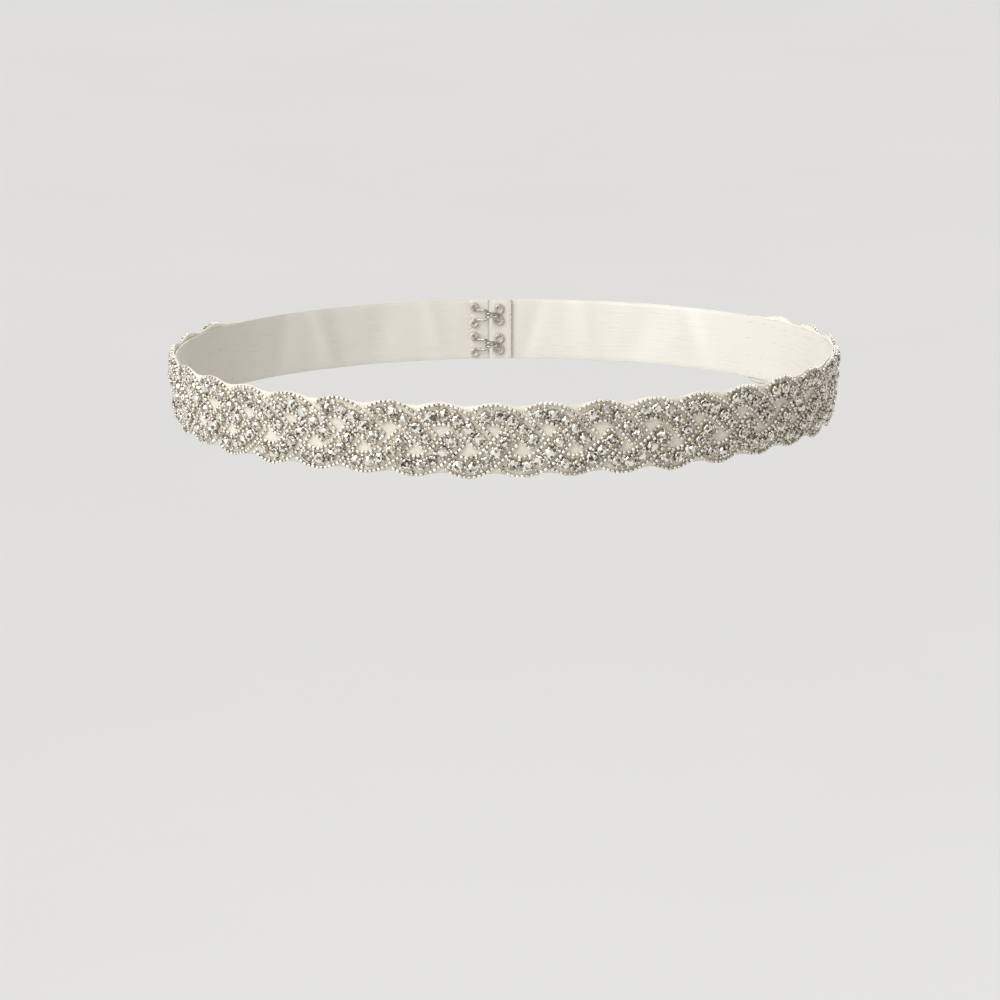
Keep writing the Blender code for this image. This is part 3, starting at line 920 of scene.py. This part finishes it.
STONE_SIDES = 8
GIRDLE = 0.3 * MM
CROWN = (0.82, 0.72)  # shares of the stone's radius and rise, where the upper facets begin
TABLE_SHARE = 0.5
TABLE_DOME = 0.12 * MM
TABLE_NUMBERS = 100  # the table's facets are numbered from here
STONE_SEAT = 0.08 * MM  # how deep a stone sits in its cup
CUP_SHARE = 0.94  # the cup's rim, as a share of the stone's radius
CLAWS = 4
CLAW_SIZE = (0.5 * MM, 1.0 * MM, 1.6 * MM)
CLAW_RISE = 0.35 * MM  # over the cup's rim
CLAW_TIP = (-0.42 * MM, 0, 0.38 * MM)  # how far a claw's tip is bent in over the stone
CLAW_TAPER = 0.6


def stone_mesh(sizes):
    """A round rhinestone: girdle, eight crown facets and a table in four, each facet flat and numbered."""
    radius, rise = sizes.stone_radius, sizes.stone_rise
    crown = [(radius * CROWN[0], rise * CROWN[1]), (radius * TABLE_SHARE, rise), (0, rise + TABLE_DOME)]
    made = turned_form([(0, 0), (radius, 0), (radius, GIRDLE), *crown], STONE_SIDES)
    numbers = made.faces.layers.float.new("facet")
    for face in made.faces:
        middle = face.calc_center_median()
        part = math.floor((math.atan2(middle.y, middle.x) + math.pi) / math.tau * STONE_SIDES)
        tier = round(middle.z / rise * 10)
        on_table = middle.xy.length < radius * TABLE_SHARE and tier > 5
        face[numbers] = part // 2 + TABLE_NUMBERS if on_table else part + STONE_SIDES * tier
    return mesh_from(made, "stone")


def setting_mesh(sizes):
    """A pressed claw setting: a flange that is sewn down, a cup, and four claws bent in over the stone."""
    made = bmesh.new()
    rise, radius = sizes.setting_rise, sizes.stone_radius
    flare = {"radius1": FLANGE_RADIUS, "radius2": radius * CUP_SHARE}
    bmesh.ops.create_cone(made, cap_ends=True, segments=STONE_SIDES, depth=rise, **flare)
    bmesh.ops.translate(made, verts=made.verts, vec=(0, 0, rise / 2))
    cup = {*made.verts, *made.edges, *made.faces}
    claw = bmesh.ops.create_cube(made, size=1)["verts"]
    bmesh.ops.scale(made, verts=claw, vec=CLAW_SIZE)
    stand = (radius + CLAW_SIZE[0] / 2, 0, rise + CLAW_RISE - CLAW_SIZE[2] / 2)
    bmesh.ops.translate(made, verts=claw, vec=stand)
    top = max(made.faces, key=lambda face: face.calc_center_median().z)
    tip = bmesh.ops.extrude_face_region(made, geom=[top])["geom"]
    points = [item for item in tip if isinstance(item, bmesh.types.BMVert)]
    bmesh.ops.delete(made, geom=[top], context="FACES_ONLY")
    bmesh.ops.translate(made, verts=points, vec=CLAW_TIP)
    bmesh.ops.scale(made, verts=points, vec=(1, CLAW_TAPER, 1))
    claw = [item for item in (*made.verts, *made.edges, *made.faces) if item not in cup]
    most = math.tau * (CLAWS - 1) / CLAWS
    bmesh.ops.spin(made, geom=claw, axis=(0, 0, 1), angle=most, steps=CLAWS - 1, use_duplicate=True)
    bmesh.ops.recalc_face_normals(made, faces=made.faces)
    return mesh_from(made, "setting", True)


def make_stones(sizes, colours):
    rng = np.random.default_rng(sizes.seed + 2)
    middles = []
    for arch in ARCHES:
        for distance in stone_places(arch):
            here = distance + stray(rng, 0.28 * MM)
            across = sway(arch, here) + stray(rng, 0.3 * MM)
            middles.append((*arch_place(arch, here, across), over_lift(here)))
    for side in SIDES:
        middles += [(*spot, 0) for spot in end_fill(sizes, side)[0]]
    places = []
    for along, up, lift in middles:
        size = rng.uniform(0.93, 1.05)
        tilt = stray(rng, 0.22, 2)
        turn = rng.uniform(0, math.tau)
        places.append(Place(along, up, GROUND_FACE + lift, turn, tilt, (size, size, size), rng.random()))
    claws = plated_metal("claw settings, silver plated brass", colours.claws, 0.3, 900)
    settle(scatter("claw_settings", setting_mesh(sizes), places, claws), "applique")
    stone = stone_mesh(sizes)
    stone.transform(Matrix.Translation((0, 0, sizes.setting_rise - STONE_SEAT)))
    settle(scatter("rhinestones", stone, places, foiled_crystal(colours.crystal)), "applique")


# ---- hooks and eyes

RING_STEPS = 18
BEND_STEPS = 14
RISE_STEPS = 6
RING_STITCHES = 11

# The sewing rings at a wire's two ends: (where they meet it, radius, half its width, which way they turn)
RINGS = {
    "hook": (HOOK_RINGS, HOOK_RING_RADIUS, HOOK_HALF_WIDTH, -1),
    "eye": (EYE_RINGS, EYE_RING_RADIUS, EYE_HALF_WIDTH, 1),
}


def ring_place(kind, side, turn):
    """The (across, up) of a sewing ring's wire, a turn away from where the ring meets the straight wire."""
    across, radius, half_width, way = RINGS[kind]
    return across + way * radius * math.sin(turn), side * (half_width + radius * (1 - math.cos(turn)))


def hook_side():
    """One of a hook's two wires, from its ring to its bill's tip: (across, out) offsets."""
    path = [((HOOK_RINGS + HOOK_BEND) / 2, 0)]
    for turn in np.linspace(0, math.pi, BEND_STEPS + 1):
        path.append((HOOK_BEND + HOOK_BEND_RADIUS * math.sin(turn), -HOOK_BEND_RADIUS * (1 - math.cos(turn))))
    return [*path, (HOOK_BEND - HOOK_BILL_LENGTH, -2 * HOOK_BEND_RADIUS)]


def eye_side():
    """One of an eye's two wires, from its ring to where its loop begins to turn: (across, out) offsets."""
    path = []
    for share in np.linspace(0, 1, RISE_STEPS + 1):
        ease = share * share * (3 - 2 * share)
        path.append((EYE_RISE + (EYE_LOOP_CENTRE - EYE_RISE) * share, -HOOK_BEND_RADIUS * ease))
    return path


def wire_path(kind, wire, tip_steps):
    """A whole hook or eye from ring to ring, round at its tip: (across, up, out) offsets."""
    half_width = RINGS[kind][2]
    lower, upper = (
        [(*ring_place(kind, side, RING_TURN * step / RING_STEPS), 0) for step in range(RING_STEPS, -1, -1)]
        + [(across, side * half_width, out) for across, out in wire]
        for side in SIDES
    )
    across, out = wire[-1]
    turns = [math.pi * step / tip_steps for step in range(1, tip_steps)]
    tip = [(across - half_width * math.sin(turn), half_width * math.cos(turn), out) for turn in turns]
    return upper + tip + lower[::-1]


def bent_wire(name, path, height, radius, finish):
    """A wire bent along a path of (across, up, out) offsets from the centre back."""
    curve = bpy.data.curves.new(name + "_line", "CURVE")
    curve.dimensions = "3D"
    curve.bevel_depth = radius
    curve.bevel_resolution = 3
    curve.use_fill_caps = True
    spline = curve.splines.new("POLY")
    spline.points.add(len(path) - 1)
    across, up, out = np.array(path).T
    for point, place in zip(spline.points, wrap(HALF_GIRTH + across, height + up, WIRE_SEAT + out)):
        point.co = (*place, 1)
    data = end_as_mesh(new_object(name + "_line", curve), name)
    data.polygons.foreach_set("use_smooth", [True] * len(data.polygons))
    return add_object(name, data, finish)


def ring_stitches(rng, kind, side, height):
    """Stitches round a sewing ring, each across its wire, apart from where the ring is open."""
    places = []
    for turn in np.linspace(0.35, RING_TURN - 0.15, RING_STITCHES):
        lean = RINGS[kind][3] * side * (turn - math.pi / 2) + stray(rng, 0.15)
        across, up = ring_place(kind, side, turn)
        places.append(Place(HALF_GIRTH + across, height + up, -HEM_THICK + 0.1 * MM, lean, (INWARDS, 0)))
    return places


def make_fasteners(sizes, colours, thread):
    finish = plated_metal("bent hook and eye wire, nickel plated", colours.wire, 0.2, 400)
    paths = {"hook": wire_path("hook", hook_side(), 8), "eye": wire_path("eye", eye_side(), 14)}
    rng = np.random.default_rng(sizes.seed + 3)
    stitches = []
    for place, height in (("upper", FASTENER_HEIGHT), ("lower", -FASTENER_HEIGHT)):
        for kind, path in paths.items():
            wire = bent_wire(f"bent_{kind}_{place}", path, height, sizes.wire_radius, finish)
            settle(wire, f"{kind}_{place}")
        for side in SIDES:
            for kind in paths:
                stitches += ring_stitches(rng, kind, side, height)
    template = stitch_mesh(sizes, 0.68 * MM, 1.42 * MM)
    settle(scatter("fastener_stitches", template, stitches, thread))


# ---- stage

FLOOR_SIZE = 30
LIGHT_SPREAD = math.radians(80)  # a grid on each soft light keeps most of it off the floor
PICTURE_PIXELS = 1000
WAIST_PIXELS_RIGHT = 4.8  # where the middle of the waist lies in the picture, from its middle
WAIST_PIXELS_UP = 119.6


def make_floor(stage, colours):
    made = bmesh.new()
    bmesh.ops.create_grid(made, x_segments=8, y_segments=8, size=FLOOR_SIZE)
    bmesh.ops.translate(made, verts=made.verts, vec=(0, 0, -stage.waist_height))
    add_object("paper_floor", mesh_from(made, "paper_floor"), matt_paper(colours.floor))


def add_light(name, kind, place, power, colour=(1, 1, 1), **settings):
    """A light aimed at the sash from a place. The camera doesn't see it."""
    data = bpy.data.lights.new(name, kind)
    data.energy = power
    data.color = colour
    for setting, value in settings.items():
        setattr(data, setting, value)
    light = new_object(name, data)
    light.location = place
    light.visible_camera = False
    light.rotation_euler = (-Vector(place)).to_track_quat("-Z", "Y").to_euler()


def make_lights(stage):
    """A wide light from above, which fills the floor too, a large soft one at the left, and weaker ones."""
    add_light("overhead light", "SUN", (-0.45, -0.45, 1), stage.overhead, angle=math.radians(50))
    for name, place, size, power, colour in (
        ("key light", (-1.0, -1.0, 0.66), 1.5, stage.key, (0.96, 0.985, 1.0)),
        ("fill light", (1.1, -1.2, 0.5), 0.3, stage.fill, (1.0, 0.97, 0.92)),
        ("back light", (0.7, 1.6, 0.55), 1.0, stage.back, (1, 1, 1)),
    ):
        add_light(name, "AREA", place, power, colour, shape="SQUARE", size=size, spread=LIGHT_SPREAD)


def make_camera(stage):
    """The camera looks past the sash, so that the band lies above the picture's middle, as it is worn."""
    data = bpy.data.cameras.new("view")
    data.lens = stage.lens
    data.clip_end = 100
    camera = new_object("view", data)
    turn, rise = stage.azimuth, stage.elevation
    back = Vector((math.sin(turn) * math.cos(rise), -math.cos(turn) * math.cos(rise), math.sin(rise)))
    camera.location = back * stage.distance
    lens_pixels = data.lens / data.sensor_width * PICTURE_PIXELS
    past = Euler((-math.atan(WAIST_PIXELS_UP / lens_pixels), math.atan(WAIST_PIXELS_RIGHT / lens_pixels), 0))
    camera.rotation_euler = ((-back).to_track_quat("-Z", "Y") @ past.to_quaternion()).to_euler()
    bpy.context.scene.camera = camera


def make_room(stage):
    """A pale room, brighter at the left, where its window is."""
    world = bpy.data.worlds.new("pale room")
    world.use_nodes = True
    tree = world.node_tree
    tree.nodes.clear()
    way = add_node(tree, "ShaderNodeTexCoord")
    parts = add_node(tree, "ShaderNodeSeparateXYZ", {"Vector": way})
    share = add_node(tree, "ShaderNodeMapRange", {"Value": parts, "From Min": -1, "From Max": 1})
    stops = [(0.0, (0.97, 0.99, 1.0)), (0.5, (0.8, 0.8, 0.79)), (1.0, (0.56, 0.54, 0.51))]
    tint = add_node(tree, "ShaderNodeValToRGB", {"Fac": share}, stops)
    light = add_node(tree, "ShaderNodeBackground", {"Color": tint, "Strength": stage.sky})
    add_node(tree, "ShaderNodeOutputWorld", {"Surface": light})
    bpy.context.scene.world = world


# ---- operators and panel


class SASH_OT_ribbon(bpy.types.Operator):
    """Make the satin ribbon with its turned ends, and the stitches on its inner face"""

    bl_idname = "sash.ribbon"
    bl_label = "Ribbon"
    bl_options = {"REGISTER", "UNDO"}

    def execute(self, context):
        sizes, colours = context.scene.sash_sizes, context.scene.sash_colours
        piece, whole = make_ribbon(sizes, colours)
        stitches = make_ribbon_threads(sizes, spun_thread(colours.thread))
        return {"FINISHED"}


class SASH_OT_ground(bpy.types.Operator):
    """Make the scalloped ground cloth of the applique"""

    bl_idname = "sash.ground"
    bl_label = "Ground cloth"
    bl_options = {"REGISTER", "UNDO"}

    def execute(self, context):
        piece, flat, area = make_ground(context.scene.sash_colours)
        return {"FINISHED"}


class SASH_OT_beads(bpy.types.Operator):
    """Thread the rows of seed beads along the strands and round the edge"""

    bl_idname = "sash.beads"
    bl_label = "Seed beads"
    bl_options = {"REGISTER", "UNDO"}

    def execute(self, context):
        make_beads(context.scene.sash_sizes, context.scene.sash_colours)
        return {"FINISHED"}


class SASH_OT_stones(bpy.types.Operator):
    """Set the rhinestones along the strands in their claw settings"""

    bl_idname = "sash.stones"
    bl_label = "Rhinestones"
    bl_options = {"REGISTER", "UNDO"}

    def execute(self, context):
        make_stones(context.scene.sash_sizes, context.scene.sash_colours)
        return {"FINISHED"}


class SASH_OT_fasteners(bpy.types.Operator):
    """Bend the hooks and eyes of the closure and sew them on"""

    bl_idname = "sash.fasteners"
    bl_label = "Hooks and eyes"
    bl_options = {"REGISTER", "UNDO"}

    def execute(self, context):
        sizes, colours = context.scene.sash_sizes, context.scene.sash_colours
        make_fasteners(sizes, colours, spun_thread(colours.thread))
        return {"FINISHED"}


class SASH_OT_stage(bpy.types.Operator):
    """Set the floor, the room's light, the soft lights and the camera"""

    bl_idname = "sash.stage"
    bl_label = "Stage"
    bl_options = {"REGISTER", "UNDO"}

    def execute(self, context):
        stage = context.scene.sash_stage
        make_floor(stage, context.scene.sash_colours)
        make_room(stage)
        make_lights(stage)
        make_camera(stage)
        # Plain sRGB, so that the sparkle of glass and plate reaches white.
        context.scene.view_settings.view_transform = "Standard"
        return {"FINISHED"}


class SASH_PT_panel(bpy.types.Panel):
    """Lists what makes the sash, with its sizes and colours"""

    bl_idname = "SASH_PT_panel"
    bl_label = "Bridal sash"
    bl_space_type = "VIEW_3D"
    bl_region_type = "UI"
    bl_category = "Sash"

    def draw(self, context):
        for operator in OPERATORS:
            self.layout.operator(operator.bl_idname)
        for name in GROUPS:
            group, box = getattr(context.scene, name), self.layout.box()
            for setting in group.__annotations__:
                box.prop(group, setting)


OPERATORS = (SASH_OT_ribbon, SASH_OT_ground, SASH_OT_beads, SASH_OT_stones, SASH_OT_fasteners, SASH_OT_stage)
GROUPS = {"sash_sizes": SashSizes, "sash_colours": SashColours, "sash_stage": SashStage}


def register():
    for made in (*GROUPS.values(), *OPERATORS, SASH_PT_panel):
        bpy.utils.register_class(made)
    for name, group in GROUPS.items():
        setattr(bpy.types.Scene, name, PointerProperty(type=group))


def unregister():
    for name in GROUPS:
        delattr(bpy.types.Scene, name)
    for made in (SASH_PT_panel, *reversed(OPERATORS), *GROUPS.values()):
        bpy.utils.unregister_class(made)


def main():
    register()
    bpy.ops.sash.ribbon()
    bpy.ops.sash.ground()
    bpy.ops.sash.beads()
    bpy.ops.sash.stones()
    bpy.ops.sash.fasteners()
    bpy.ops.sash.stage()


if __name__ == "__main__":
    main()
